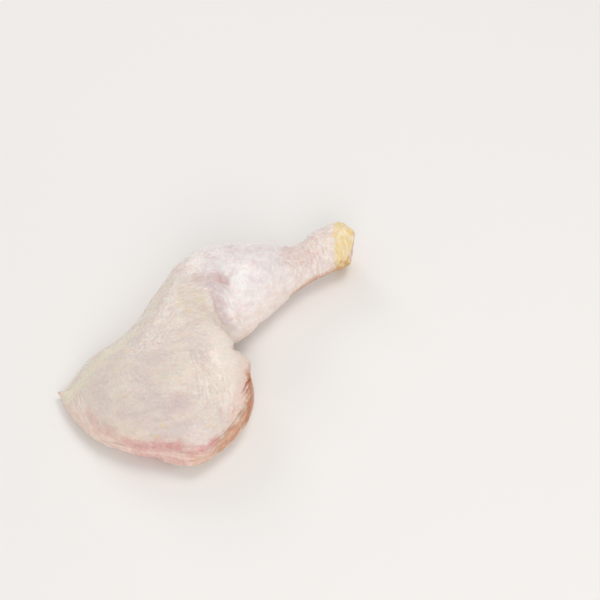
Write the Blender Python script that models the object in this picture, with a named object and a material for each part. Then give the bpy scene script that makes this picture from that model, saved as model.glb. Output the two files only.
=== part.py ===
"""A raw chicken leg quarter with its skin on: drumstick and thigh in one piece, cut off at the hock.

It lies on its meat side, skin up. X runs along the drumstick towards the hock and Z is up. Places are given from
the middle of the bent knee. The last step moves the origin to the middle of the leg's outline, on the surface
that it lies on. Lengths are in metres.
"""

from dataclasses import dataclass

import bmesh
import bpy
import numpy as np

MM = 0.001

# The leg as a whole
RINGS = 76  # rings of points from the hock to the hip end
POINTS_ROUND = 54  # points in each ring
HOCK_RIM = 4 * MM  # radius of the rounded skin at the cut hock
HIP_RIM = 24 * MM  # length over which the hip end thins to its lip
HIP_CORNER = (-70 * MM, -70 * MM)  # x and y of the blunt corner on the inner side of the hip end
HIP_CORNER_REACH = 30 * MM  # how far round it the flesh is smoothed over
HIP_CORNER_ROUNDS = 14  # times that it is smoothed
BOW_SKEW = 1.1  # how much nearer to its outer side a slice bulges

# The shank bone, sawn through at the hock
BONE_CUT_X = 96 * MM  # where the sawn face lies
BONE_LENGTH = 84 * MM
BONE_AXIS_Y = 13 * MM
BONE_AXIS_Z = 16.5 * MM
BONE_KNUCKLE_RADIUS = 4.6 * MM  # each of the two knuckles side by side at the hock
BONE_KNUCKLE_SPREAD = 3.4 * MM  # from the axis to the middle of a knuckle
BONE_KNUCKLE_LENGTH = 13 * MM  # over which the knuckles run into the shaft
BONE_SHAFT_RADIUS = 4 * MM
BONE_KNEE_RADIUS = 6.5 * MM
BONE_POINTS_ROUND = 36
BONE_RINGS = 22
FIT_GAP = 0.3 * MM  # between the bone and the meat round it


@dataclass(frozen=True)
class Slice:
    """A slice across the leg, in millimetres, from the outer side of the bent knee to the inner side."""

    outer: tuple  # x and y of the widest point on the outer side
    inner: tuple  # x and y of the widest point on the inner side
    edges: tuple  # heights of those two points
    top: float  # height of the crown
    under: float  # lowest point; below zero the flesh is pressed flat on the surface
    lean: float = 0.0  # crown's place, from -1 at the outer side to 1 at the inner side
    bow: float = 0.0  # how far the slice's middle bulges towards the hip
    fullness: tuple = (2.0, 2.0)  # shape of the top towards each side: 2 is round, 1 a thin lip


SLICES = [
    Slice((101, 24), (95.5, 1.5), (16.5, 15.5), 29, 3.5),  # skin drawn over the cut hock
    Slice((92, 27.5), (88, -0.5), (17, 16), 31, 2.5),
    Slice((79, 28), (78, 0.5), (17, 16), 30.5, 3.0),
    Slice((66, 25), (66, 1.0), (16.5, 16), 28.5, 3.5),  # narrowest part of the shank
    Slice((54, 28), (54, -0.5), (18, 17), 32.5, 2.5),
    Slice((41, 34), (41, -4.0), (20, 18), 39.5, 1.0),
    Slice((28, 40.5), (28, -9), (23, 19), 44.5, -0.5),
    Slice((14, 46.5), (16, -12), (24, 19), 47, -1.5),  # thickest part of the calf
    Slice((3, 49), (6, -14), (23, 18), 46, -2.0),
    Slice((-8, 46.5), (-5, -15), (22, 17), 43.5, -2.0, 0, 0, (2.0, 1.8)),  # the bent knee
    Slice((-20, 41), (-9.5, -20), (20, 13), 42, -3.0, 0.0, 0.5, (1.9, 2.0)),  # notch inside the bend
    Slice((-34, 35.5), (-9.5, -34), (17, 12), 43, -4.0, 0.05, 2.0, (1.7, 2.4)),
    Slice((-48, 29), (-14, -49.5), (13, 12), 44, -4.0, 0.08, 3.0, (1.6, 2.5)),
    Slice((-62, 26.5), (-24, -63), (9, 12), 43, -4.0, 0.12, 4.0, (1.5, 2.5)),
    Slice((-77, 27), (-39, -72), (8, 12), 40, -4.0, 0.18, 5.5, (1.4, 2.5)),
    Slice((-90, 22.5), (-54, -75.5), (7, 12), 35, -3.5, 0.25, 8.0, (1.3, 2.4)),
    Slice((-99, 17.5), (-65, -77), (6, 12), 30, -3.0, 0.25, 10.0, (1.3, 2.1)),
    Slice((-107, 16.5), (-74, -72), (5, 9), 26, -1.0, 0.25, 11.5, (1.3, 2.0)),  # lip of skin at the hip
]


@dataclass(frozen=True)
class Hollow:
    """A soft groove in the skin, or a swelling where the depth is negative, in millimetres."""

    path: tuple  # x and y of the points that it runs through, seen from above
    depth: float
    reach: float  # how far to each side it fades out
    below: float = 99.0  # it fades out above this height
    beneath: bool = False  # on the underside, where the meat shows, instead of on the skin


# Where the rolled edge of the skin ends, all round the thigh's meat
SKIN_EDGE = ((-92, 6), (-88, -14), (-76, -36), (-60, -56), (-38, -52), (-24, -34), (-18, -8), (-30, 16), (-60, 12))

HOLLOWS = [
    Hollow(((-3, 30), (-9, 8), (-8, -14)), 3.2, 17),  # valley between the calf and the thigh
    Hollow(((4, 18), (1, 10)), 1.5, 14),  # dimple beside the kneecap
    Hollow(((-14, 36), (-9, 40)), -1.6, 14),  # kneecap
    Hollow(((-52, 8), (-34, 18), (-20, 26)), -1.3, 12),  # ridge along the thigh
    Hollow(((-12, -36), (-20, -50), (-36, -62)), 2.4, 6, below=26),  # folds on the thigh's inner side
    Hollow(((-24, -44), (-34, -54), (-52, -64)), 1.7, 6.5, below=30),
    Hollow((*SKIN_EDGE, SKIN_EDGE[0]), 2.4, 6.5, beneath=True),
    Hollow(((-84, 0), (-58, -8), (-32, 0)), 1.6, 5.5, beneath=True),  # partings of the thigh's muscles
    Hollow(((-70, -36), (-50, -30), (-28, -16)), 1.6, 5.5, beneath=True),
]


def smooth_curve(knots, values, at):
    """A smooth curve through values at the knots, which never swings past them."""
    knots, values = np.asarray(knots, float), np.asarray(values, float)
    step = np.diff(knots)[:, None]
    rise = np.diff(values, axis=0) / step
    slopes = np.zeros_like(values)
    slopes[0], slopes[-1] = rise[0], rise[-1]
    same_way = rise[1:] * rise[:-1] > 0
    total = np.where(same_way, rise[1:] + rise[:-1], 1)
    slopes[1:-1] = np.where(same_way, 2 * rise[1:] * rise[:-1] / total, 0)
    place = np.clip(np.searchsorted(knots, at, side="right") - 1, 0, len(knots) - 2)
    part = ((at - knots[place]) / step[place, 0])[:, None]
    rest = 1 - part
    from_ends = (1 + 2 * part) * rest**2 * values[place] + part**2 * (3 - 2 * part) * values[place + 1]
    from_slopes = part * rest**2 * slopes[place] - part**2 * rest * slopes[place + 1]
    return from_ends + from_slopes * step[place]


def slice_values():
    """The slices as rows of numbers, lengths in metres, and how far along the leg each lies."""
    rows = []
    for one in SLICES:
        lengths = (*one.outer, *one.inner, *one.edges, one.top, one.under, one.bow)
        rows.append([length * MM for length in lengths] + [one.lean, *one.fullness])
    rows = np.array(rows)
    middles = (rows[:, 0:2] + rows[:, 2:4]) / 2
    steps = np.linalg.norm(np.diff(middles, axis=0), axis=1)
    return rows, np.concatenate([[0], np.cumsum(steps)])


def round_off(distance, rim):
    """From 0 at a rounded end to 1 where the rim stops, along a quarter circle."""
    return np.sqrt(1 - (1 - distance / rim).clip(0, 1) ** 2)


def plain_rings():
    """The leg's smooth surface, shaped (ring, point, xyz)."""
    rows, knots = slice_values()
    even = np.linspace(0, 1, RINGS)
    along = knots[-1] * (even - 0.06 * np.sin(2 * np.pi * even))  # rings lie closer together at both ends
    values = smooth_curve(knots, rows, along)
    outer, inner = values[:, None, 0:2], values[:, None, 2:4]
    edge_outer, edge_inner, top, under, bow = (values[:, None, k] for k in range(4, 9))
    lean, full_outer, full_inner = (values[:, None, k] for k in range(9, 12))

    angle = np.linspace(0, 2 * np.pi, POINTS_ROUND, endpoint=False)[None]
    across, up = np.cos(angle), np.sin(angle)
    from_outer = (1 + across) / 2
    edge = edge_outer + (edge_inner - edge_outer) * from_outer
    fullness = full_outer + (full_inner - full_outer) * from_outer
    above = (top - edge) * np.abs(up) ** (2 / fullness)
    below = (under - edge) * np.abs(up)
    height = edge + np.where(up >= 0, above, below)

    middle, half = (outer + inner) / 2, (inner - outer) / 2
    width = np.linalg.norm(half, axis=2)
    inset = HOCK_RIM * (1 - round_off(along, HOCK_RIM))[:, None]
    middle_height = (top + under) / 2
    height = middle_height + (height - middle_height) * (1 - 2 * inset / (top - under))
    height = edge + (height - edge) * round_off(knots[-1] - along, HIP_RIM)[:, None]
    sideways = (across + lean * (1 - across**2)) * (1 - inset / width)
    bulge = bow * (1 - across**2) * (1 - BOW_SKEW * across)
    towards_hip = np.stack([half[..., 1], -half[..., 0]], -1) / width[..., None]
    plan = middle + half * sideways[..., None] + towards_hip * bulge[..., None]
    return np.concatenate([plan, height[..., None]], -1)


def ring_normals(rings):
    along = np.gradient(rings, axis=0)
    round_ring = (np.roll(rings, -1, axis=1) - np.roll(rings, 1, axis=1)) / 2
    normals = np.cross(round_ring, along)
    length = np.linalg.norm(normals, axis=2, keepdims=True)
    return np.where(length > 1e-12, normals / np.maximum(length, 1e-12), 0)


def distance_to_path(places, path):
    """How far each place lies from a chain of straight stretches, seen from above."""
    nearest = np.full(places.shape[:-1], np.inf)
    for start, end in zip(path, path[1:]):
        start, stretch = np.array(start), np.subtract(end, start)
        part = ((places - start) @ stretch / (stretch @ stretch)).clip(0, 1)
        nearest = np.minimum(nearest, np.linalg.norm(places - start - part[..., None] * stretch, axis=-1))
    return nearest


def leg_rings():
    """The leg's surface with its grooves and swellings, pressed flat where it lies on the surface."""
    rings = plain_rings()
    rings[..., 2] = rings[..., 2].clip(0)
    normals = ring_normals(rings)
    depth = np.zeros(rings.shape[:2])
    for hollow in HOLLOWS:
        away = distance_to_path(rings[..., :2] / MM, hollow.path)
        facing = -normals[..., 2] if hollow.beneath else normals[..., 2] + 0.25
        fade = ((hollow.below - rings[..., 2] / MM) / 6).clip(0, 1) * facing.clip(0, 1)
        depth += hollow.depth * MM * fade * (1 - (away / hollow.reach) ** 2).clip(0) ** 2
    rings = rings - normals * depth[..., None]
    rings[..., 2] = rings[..., 2].clip(0)
    return rings


def ring_faces(rings, points_round):
    faces = []
    for ring in range(rings - 1):
        for point in range(points_round):
            here = ring * points_round + point
            beside = ring * points_round + (point + 1) % points_round
            faces.append((here, beside, beside + points_round, here + points_round))
    return faces


def closed_mesh(name, rings, close_last):
    """A tube through the rings, closed by a fan at its first ring and, if asked, at its last."""
    count, points_round = rings.shape[:2]
    points = list(rings.reshape(-1, 3))
    faces = ring_faces(count, points_round)
    points.append(rings[0].mean(axis=0))
    faces += [(k, len(points) - 1, (k + 1) % points_round) for k in range(points_round)]
    if close_last:
        first = (count - 1) * points_round
        points.append(rings[-1].mean(axis=0))
        faces += [(first + (k + 1) % points_round, len(points) - 1, first + k) for k in range(points_round)]
    mesh = bpy.data.meshes.new(name)
    mesh.from_pydata([tuple(point) for point in points], [], faces)
    shell = bmesh.new()
    shell.from_mesh(mesh)
    bmesh.ops.remove_doubles(shell, verts=shell.verts, dist=0.02 * MM)
    shell.to_mesh(mesh)
    shell.free()
    mesh.shade_smooth()
    return mesh


def soften_corner(mesh, corner, reach, rounds):
    """Smooths the mesh near a corner, most at the corner itself."""
    shell = bmesh.new()
    shell.from_mesh(mesh)
    for turn in range(rounds):
        near = reach * (1 - turn / rounds)
        verts = [vert for vert in shell.verts if np.hypot(vert.co.x - corner[0], vert.co.y - corner[1]) < near]
        bmesh.ops.smooth_vert(shell, verts=verts, factor=0.5, use_axis_x=True, use_axis_y=True, use_axis_z=True)
    for vert in shell.verts:
        vert.co.z = max(vert.co.z, 0)
    shell.to_mesh(mesh)
    shell.free()


def add_object(name, mesh):
    thing = bpy.data.objects.new(name, mesh)
    bpy.context.scene.collection.objects.link(thing)
    return thing


def paint(thing, colour, roughness):
    material = bpy.data.materials.new(thing.name)
    material.use_nodes = True
    shader = material.node_tree.nodes["Principled BSDF"]
    shader.inputs["Base Color"].default_value = (*colour, 1)
    shader.inputs["Roughness"].default_value = roughness
    shader.inputs["Metallic"].default_value = 0
    thing.data.materials.append(material)


def bone_rings(grow=0.0, beyond=0.0):
    """The bone's surface from its sawn knuckles to the knee, all round larger by grow."""
    angle = np.linspace(0, 2 * np.pi, BONE_POINTS_ROUND, endpoint=False)
    side, up = np.cos(angle), np.sin(angle)
    knuckles = BONE_KNUCKLE_SPREAD * np.abs(side)
    knuckles += np.sqrt(BONE_KNUCKLE_RADIUS**2 - (BONE_KNUCKLE_SPREAD * up) ** 2)
    knuckles *= 1 + 0.25 * (-up).clip(0) ** 2  # drawn out towards the underside, like a heart
    rings = []
    for back in np.linspace(0, 1, BONE_RINGS) ** 1.3 * BONE_LENGTH:
        into_shaft = np.clip(back / BONE_KNUCKLE_LENGTH, 0, 1)
        into_shaft = into_shaft**2 * (3 - 2 * into_shaft)
        widening = np.clip((back / BONE_LENGTH - 0.75) / 0.25, 0, 1) ** 2
        shaft = BONE_SHAFT_RADIUS + (BONE_KNEE_RADIUS - BONE_SHAFT_RADIUS) * widening
        radius = knuckles + (shaft - knuckles) * into_shaft + grow
        x = np.full_like(radius, BONE_CUT_X - back)
        rings.append(np.stack([x, BONE_AXIS_Y - radius * side, BONE_AXIS_Z + radius * up], -1))
    rings = np.array(rings)
    rings[0, :, 0] += beyond
    rings[-1, :, 0] -= grow
    return rings


def make_bone():
    bone = add_object("shank_bone", closed_mesh("shank_bone", bone_rings(), close_last=True))
    paint(bone, (0.45, 0.12, 0.10), 0.35)
    return bone


def make_leg():
    leg = add_object("leg", closed_mesh("leg", leg_rings(), close_last=False))
    soften_corner(leg.data, HIP_CORNER, HIP_CORNER_REACH, HIP_CORNER_ROUNDS)
    paint(leg, (0.75, 0.60, 0.54), 0.4)
    channel = add_object("bone_channel", closed_mesh("bone_channel", bone_rings(FIT_GAP, 6 * MM), True))
    channel.hide_render = True
    channel.display_type = "WIRE"
    cut = leg.modifiers.new("bone channel", "BOOLEAN")
    cut.operation = "DIFFERENCE"
    cut.solver = "EXACT"
    cut.object = channel
    return leg


def move_origin_below_middle(leg):
    """Moves every mesh so that the origin lies in the middle of the leg's outline."""
    places = np.array([vertex.co[:2] for vertex in leg.data.vertices])
    middle = (places.min(axis=0) + places.max(axis=0)) / 2
    for thing in bpy.data.objects:
        for vertex in thing.data.vertices:
            vertex.co.x -= middle[0]
            vertex.co.y -= middle[1]


def clear_scene():
    for thing in list(bpy.data.objects):
        bpy.data.objects.remove(thing, do_unlink=True)


clear_scene()
make_bone()
move_origin_below_middle(make_leg())
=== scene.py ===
"""The looks of a raw chicken leg quarter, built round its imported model.

The sections follow the leg as it is put together: the flesh in its skin, the follicles, the colours, the
finish, the sawn shank bone and its marrow, then the floor, the light and the camera. Lengths are in
millimetres unless a name ends in _m or _M. X runs along the drumstick towards the hock, -Y is the thigh's
inner side and Z is up.
"""

import math
from dataclasses import dataclass
from types import SimpleNamespace

import bmesh
import bpy
import numpy as np
from mathutils import Euler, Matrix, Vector, noise


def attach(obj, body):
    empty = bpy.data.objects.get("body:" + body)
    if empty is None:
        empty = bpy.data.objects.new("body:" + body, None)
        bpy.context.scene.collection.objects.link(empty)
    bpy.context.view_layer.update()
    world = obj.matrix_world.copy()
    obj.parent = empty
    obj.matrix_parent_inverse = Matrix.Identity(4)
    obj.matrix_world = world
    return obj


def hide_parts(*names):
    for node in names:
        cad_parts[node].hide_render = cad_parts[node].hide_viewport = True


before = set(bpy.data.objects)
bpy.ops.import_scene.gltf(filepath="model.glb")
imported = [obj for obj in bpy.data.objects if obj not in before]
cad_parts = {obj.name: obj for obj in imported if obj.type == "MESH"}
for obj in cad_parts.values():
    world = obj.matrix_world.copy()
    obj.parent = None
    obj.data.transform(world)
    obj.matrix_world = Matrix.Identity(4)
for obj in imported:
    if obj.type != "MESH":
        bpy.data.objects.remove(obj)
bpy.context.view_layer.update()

# Flesh in its skin. A raw drumstick and thigh in one piece, soft and wet, in a thin loose skin that is
# drawn together at the knee and at the cut hock. The skin ends in a cut edge round the thigh's meat, on
# which the leg lies.

MM = 0.001
FORM_SPACING = 0.56  # between the points that carry the folds
EVEN_OUT_ROUNDS = 8


def copy_of_node(name, new_name):
    """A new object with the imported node's mesh, its triangles joined, and made quads where they can be."""
    shell = bmesh.new()
    shell.from_mesh(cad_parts[name].data)
    bmesh.ops.remove_doubles(shell, verts=shell.verts, dist=0.01 * MM)
    bmesh.ops.join_triangles(shell, faces=shell.faces, angle_face_threshold=0.7, angle_shape_threshold=0.8)
    mesh = bpy.data.meshes.new(new_name)
    shell.to_mesh(mesh)
    shell.free()
    piece = bpy.data.objects.new(new_name, mesh)
    bpy.context.scene.collection.objects.link(piece)
    return piece


def settle(piece):
    """Turns a piece and its modifiers into a plain mesh."""
    evaluated = piece.evaluated_get(bpy.context.evaluated_depsgraph_get())
    mesh = bpy.data.meshes.new_from_object(evaluated)
    piece.modifiers.clear()
    piece.data = mesh
    mesh.shade_smooth()


def make_even(piece, spacing, rounds):
    """Gives a piece rounded corners and an even skin of small faces."""
    rounded = piece.modifiers.new("rounded", "SUBSURF")
    rounded.levels = rounded.render_levels = 2
    even = piece.modifiers.new("even", "REMESH")
    even.mode = "VOXEL"
    even.voxel_size = spacing * MM
    soft = piece.modifiers.new("soft", "SMOOTH")
    soft.factor = 0.5
    soft.iterations = rounds
    settle(piece)


def read_vectors(owners, field):
    """The named x, y and z of each of a mesh's vertices or normals."""
    flat = np.empty(len(owners) * 3, np.float32)
    owners.foreach_get(field, flat)
    return flat.reshape(-1, 3).astype(float)


def places_of(mesh):
    return read_vectors(mesh.vertices, "co") / MM


def outward_of(mesh):
    return read_vectors(mesh.vertex_normals, "vector")


def put_places(mesh, places):
    mesh.vertices.foreach_set("co", (places * MM).astype(np.float32).ravel())
    mesh.update()


def fade(values, none, full):
    """0 at none and before it, 1 at full and past it, with a smooth rise between. Full may be the smaller."""
    part = ((values - none) / (full - none)).clip(0, 1)
    return part * part * (3 - 2 * part)


def hump(distance, width):
    """1 at no distance, about a third of that at the width, and nothing well past it."""
    return np.exp(-((distance / width) ** 2))


SEED_STEP = 17.31  # from one seed's part of the noise to the next


def lumps(places, size, seed):
    """Smooth noise from about -1 to 1, its lumps that many millimetres across, or as many in x, y and z."""
    at = places / size + seed * SEED_STEP
    return np.array([noise.noise(place) for place in at.tolist()])


def waver(places, reach, size, seeds):
    """The places, each shifted by up to about that reach, so that what follows a path isn't straight."""
    return places + reach * np.stack([lumps(places, size, seed) for seed in seeds], axis=1)


def lie_along(places, outward, path):
    """Distance from a chain of stretches, signed distance across it, how far along it, and its length."""
    nearest = np.full(len(places), np.inf)
    across, along = np.zeros(len(places)), np.zeros(len(places))
    passed = 0.0
    for start, end in zip(path, path[1:]):
        start, stretch = np.array(start, float), np.subtract(end, start).astype(float)
        length = np.linalg.norm(stretch)
        part = ((places - start) @ stretch / length**2).clip(0, 1)
        apart = places - start - part[:, None] * stretch
        distance = np.linalg.norm(apart, axis=1)
        left = np.cross(outward, stretch)
        left /= np.linalg.norm(left, axis=1)[:, None].clip(1e-6)
        closer = distance < nearest
        nearest = np.where(closer, distance, nearest)
        across = np.where(closer, (left * apart).sum(axis=1), across)
        along = np.where(closer, passed + (places - start) @ stretch / length, along)
        passed += length
    return nearest, across, along, passed


LINE_WANDER = 0.8  # how far a fine line strays, in widths
LINE_SHARPNESS = 2.8
LINE_LAYER = 3.7  # from one seed's layer of the noise to the next


def fine_lines(across, along, width, length, seed):
    """Thin raised lines from 0 to 1 that run along a path, meet and part again."""
    at = np.stack([across / width, along / length, np.full(len(across), LINE_LAYER * seed)], axis=1)
    at[:, 0] += LINE_WANDER * lumps(at, (5, 1, 1), seed)
    return (1 - LINE_SHARPNESS * np.abs(lumps(at, 1, seed + 1))).clip(0, 1)


FLESH_LUMPS = ((26, 0.45), (12, 0.3), (5, 0.1))  # how wide and how high the soft lumps of the flesh are


def flesh_lumps(places, outward):
    """Soft lumps, left out where the leg rests."""
    raised = sum(high * lumps(places, wide, number + 1) for number, (wide, high) in enumerate(FLESH_LUMPS))
    return raised * (1 - fade(outward[:, 2], -0.5, -0.9))


@dataclass(frozen=True)
class Fold:
    """A crease in the skin, with a raised lip on one side of it and lower skin on the other."""

    path: tuple
    depth: float
    width: float
    lip: float = 0.0
    lip_side: int = 1  # 1 is on the left of the path, seen from outside
    drop: float = 0.0
    fold_shade: float = 0.3  # how much shade is painted into the crease, darker and redder


VALLEY_EDGE = (
    (-0.8, 26.5, 39.6), (-1.3, 21.2, 38.7), (-2.8, 15.6, 37),
    (-4.5, 9.8, 33.7), (-4.4, 4.7, 29.6), (-2.5, 1.6, 24),
)  # fmt: skip
LOBE_CREASE = (
    (-10, -34, 25), (-12.5, -37.3, 26), (-16.2, -40.6, 28.5), (-20.2, -43.8, 29.3), (-25, -47, 29.7),
)  # fmt: skip
SECOND_CREASE = ((-14.5, -40.5, 25), (-18.2, -43.6, 27), (-22.5, -46.4, 28), (-26, -49, 28))
INNER_EDGE = (
    (-15, -43.5, 21.5), (-19.1, -47.6, 22.4), (-22.6, -50, 23.4), (-27.4, -52.8, 24.1), (-32, -54.8, 24.6),
    (-39.2, -57.8, 22.7), (-46.9, -59.5, 21.2), (-54, -60.2, 20.4),
)  # fmt: skip
INNER_CREASE = ((-23, -50, 29.5), (-29, -52.5, 29), (-36, -54.4, 28.5))
MARGIN_CREASE = ((-97, -19.5, 11), (-90.5, -30, 13.5), (-83, -37.5, 16), (-76, -43, 19))
UPPER_CREASE = ((-84, -34, 21), (-76, -41, 23.3), (-68, -47.3, 24))
CORNER_CREASE = ((-72, -50, 17.5), (-66, -55.3, 17.4), (-59, -59.3, 18), (-52, -60.6, 18.6))
FOLDS = (
    Fold(VALLEY_EDGE, 0.5, 0.8, lip=0.35, lip_side=-1, drop=0.7, fold_shade=0.1),
    Fold(LOBE_CREASE, 0.8, 0.5, lip=0.6, fold_shade=0.75),
    Fold(SECOND_CREASE, 0.6, 0.45, lip=0.5, fold_shade=0.65),
    Fold(INNER_EDGE, 1.1, 0.6, lip=0.7, lip_side=-1, drop=1.5, fold_shade=0.45),
    Fold(INNER_CREASE, 0.4, 0.8, lip=0.3, lip_side=-1),
    Fold(MARGIN_CREASE, 0.35, 0.9, lip=0.3, lip_side=-1, fold_shade=0.08),
    Fold(UPPER_CREASE, 0.2, 1.0, lip=0.2, lip_side=-1, fold_shade=0.05),
    Fold(CORNER_CREASE, 0.5, 0.8, lip=0.4, fold_shade=0.15),
)
FOLD_WAVER = (0.6, 6, (11, 12, 13))  # reach, size and seeds
FOLD_END = 0.3  # the share of a fold's length over which either end runs out
FOLD_SPREAD = 1.4  # the lip's and the painted shade's width, in widths of the crease


def between_ends(along, length):
    """1 along a fold, less towards its ends, where it runs out."""
    return fade(along, 0, FOLD_END * length) * fade(length - along, 0, FOLD_END * length)


def press_folds(relief, places, outward):
    wavering = waver(places, *FOLD_WAVER)
    for fold in FOLDS:
        distance, across, along, length = lie_along(wavering, outward, fold.path)
        ends = between_ends(along, length)
        lipwards = across * fold.lip_side
        relief -= fold.depth * ends * hump(distance, fold.width)
        relief += fold.lip * ends * hump(lipwards - 2 * fold.width, FOLD_SPREAD * fold.width)
        relief -= fold.drop * ends * fade(lipwards, 0, -0.8) * fade(distance, 10, 2)


@dataclass(frozen=True)
class Wrinkles:
    """A patch of fine wrinkles that run along its path."""

    path: tuple
    reach: float
    spacing: float
    depth: float


THIGH_RIM = ((-96.3, -20.3, 11), (-84.7, -38, 13), (-72.1, -50, 16), (-60, -60, 16.5), (-48, -61, 16))
INNER_RIM = ((-12, -40, 18), (-19.8, -48.6, 19), (-27, -54, 19), (-33.7, -57.2, 18.6), (-49, -60.4, 17))
THIGH_RIDGE = ((-34.5, -18, 42), (-34.5, -24.2, 41.6), (-34.8, -31, 39.9), (-34.5, -37.7, 37.6))
WRINKLES = (
    Wrinkles(((-26, 31, 39.6), (-15.5, 30.4, 40.8), (-4.8, 30, 39.8)), 12, 1.7, 0.13),
    Wrinkles(((-33, 8, 43), (-19.6, 6.6, 43.2), (-6.3, 11.3, 35.2)), 11, 1.7, 0.13),
    Wrinkles(((3, 20, 40), (3.9, 17.3, 39.1), (4, 9, 34.4), (5.2, 2.7, 27.1)), 6.5, 1.6, 0.2),
    Wrinkles(((-29.3, -39.7, 36), (-32.4, -46.6, 32.9), (-36.2, -51.4, 30.1)), 8, 1.9, 0.22),
    Wrinkles(((-38.4, -30.4, 40), (-42.2, -37.5, 37.7), (-44.8, -43.5, 35.1)), 7, 1.9, 0.16),
    Wrinkles(((-97.6, 12.1, 15), (-99.2, -3, 15.9), (-98, -14.4, 14.6)), 10, 1.7, 0.22),
    Wrinkles(THIGH_RIM, 10, 1.8, 0.28),
    Wrinkles(INNER_RIM, 9, 1.9, 0.45),
    Wrinkles(((-46, 7, 40.5), (-34.3, 12.3, 42), (-24, 15.5, 42.8)), 7, 1.8, 0.14),
    Wrinkles(THIGH_RIDGE, 8, 1.9, 0.22),
    Wrinkles(((-70, 30, 16), (-58, 29, 22), (-40, 38, 24), (-24, 47, 24)), 9, 1.8, 0.16),
    Wrinkles(((-4, 44, 36), (8, 48, 37), (20, 42, 41)), 10, 1.9, 0.12),
    Wrinkles(((77, 38, 20), (77, 30, 29), (76, 22, 28), (75, 15, 21), (75, 13.5, 14)), 13, 2.0, 0.14),
)
PATCH_HALF = 40  # each patch's path ends within this of its middle


def press_wrinkles(relief, places, outward):
    for number, patch in enumerate(WRINKLES):
        middle = np.mean(patch.path, axis=0)
        near = np.linalg.norm(places - middle, axis=1) < patch.reach + PATCH_HALF
        distance, across, along, _ = lie_along(places[near], outward[near], patch.path)
        lines = fine_lines(across, along, patch.spacing, 5 * patch.spacing, 40 + 3 * number)
        relief[near] += patch.depth * fade(distance, patch.reach, 0.4 * patch.reach) * (lines - 0.4)


PUCKER = (6.2, 22.0, 41.3)  # where the skin is drawn together at the knee
PUCKER_DENT = (0.4, 1.8)  # depth and width
PUCKER_CREASES = (0.12, 3.2)
PUCKER_ARMS = 6


def press_pucker(relief, places):
    from_pucker = places - PUCKER
    radius = np.linalg.norm(from_pucker, axis=1)
    turn = np.arctan2(from_pucker[:, 1], from_pucker[:, 0])
    arms = np.cos(PUCKER_ARMS * turn + 1.5 * lumps(places, 3, 26))
    (dent, dent_width), (crease, crease_width) = PUCKER_DENT, PUCKER_CREASES
    relief -= dent * hump(radius, dent_width) + crease * arms * hump(radius, crease_width)


HOCK_RINGS = (63, 90)  # x between which the skin is drawn into rings round the shank
RING_FADE = 10
RING_SPACING = 2.3
RING_DEPTH = 0.36


def press_rings(relief, places, outward):
    """Uneven rings of skin round the shank, up to twice as deep on its inner side."""
    x = places[:, 0]
    phase = x / RING_SPACING + 0.9 * lumps(places, 7, 21) + 0.25 * lumps(places, 2.5, 22)
    first, last = HOCK_RINGS
    cover = fade(x, first, first + RING_FADE) * fade(x, last, last - RING_FADE)
    uneven = (0.6 + 0.4 * lumps(places, 6, 23)) * (1 + fade(outward[:, 1], -0.6, -1))
    relief += RING_DEPTH * cover * uneven * (np.abs(np.sin(np.pi * phase)) - 0.6)


SHANK_AXIS = (27.0, 17.0)  # y and z of the middle of the shank
SHANK_RADIUS = 14.0
CAP_EDGE = 90.5  # x at which the yellow skin of the foot begins, on the average
CAP_SLANT = 8.5  # how far that edge reaches back on the inner side
CAP_RISE = 0.25
CAP_SCALE_DEPTH = 0.35
CAP_LUMP = 0.4


def shank_turn(places):
    """The angle round the shank from its inner side, upwards."""
    return np.arctan2(places[:, 2] - SHANK_AXIS[1], SHANK_AXIS[0] - places[:, 1])


def round_shank(places):
    """Millimetres round the shank from its inner side, either way."""
    return np.abs(shank_turn(places)) * SHANK_RADIUS


def beyond_cap_edge(places):
    """How far towards the foot from the uneven edge of the yellow skin."""
    straight_edge = CAP_EDGE - CAP_SLANT * np.cos(shank_turn(places))
    edge = straight_edge + 3.2 * lumps(places, 6, 33) + 1.2 * lumps(places, 2.2, 32)
    return places[:, 0] - edge


def raise_cap(relief, places):
    """The thicker, scaly skin of the foot."""
    scales = fine_lines(places[:, 0], round_shank(places), 1.9, 7, 71)
    rise = CAP_RISE + CAP_SCALE_DEPTH * (scales - 0.5) + CAP_LUMP * lumps(places, 4, 72)
    relief += fade(beyond_cap_edge(places), -0.5, 2) * rise


BONE_MIDDLE = (26.6, 16.5)  # y and z of the shank bone's axis
BONE_HOLD = 0.7  # how far the flesh swells towards the bone


def from_bone_axis(places):
    return places[:, 1] - BONE_MIDDLE[0], places[:, 2] - BONE_MIDDLE[1]


def facing_bone(places, outward):
    """How squarely the surface faces the bone's axis, from -1 to 1."""
    aside, above = from_bone_axis(places)
    return -(outward[:, 1] * aside + outward[:, 2] * above) / np.hypot(aside, above).clip(1)


def hold_bone(relief, places, outward):
    """Draws the flesh at the hock close round the sawn bone."""
    close = fade(np.hypot(*from_bone_axis(places)), 12, 10)
    relief += BONE_HOLD * fade(facing_bone(places, outward), 0.2, 0.8) * close * fade(places[:, 0], 80, 85)


# The loop at which the skin is cut off round the thigh's meat, seen from above
SKIN_EDGE = (
    (-87, 20), (-83, 0), (-71, -22), (-55, -42), (-33, -38), (-19, -20), (-13, 6), (-25, 30), (-55, 26),
)  # fmt: skip
SKIN_EDGE_STEP = 0.9
FIBRE_DEPTH = 0.35
FIBRE_SLANT = 0.35
# The seams between the thigh's muscles, on its cut side
MEAT_SEAMS = (
    ((-84, 10, 1), (-66, 4, 1), (-46, -6, 1), (-30, -20, 1), (-24, -30, 1)),
    ((-52, 24, 1), (-44, 10, 1), (-36, -2, 1), (-30, -8, 1), (-16, -8, 1)),
    ((-66, 4, 1), (-62, -16, 1), (-54, -36, 1)),
)
SEAM_WAVER = (2.5, 9, (54, 55, 56))
SEAM_DEPTH = 0.9
MEAT_LUMP = 0.5


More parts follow.
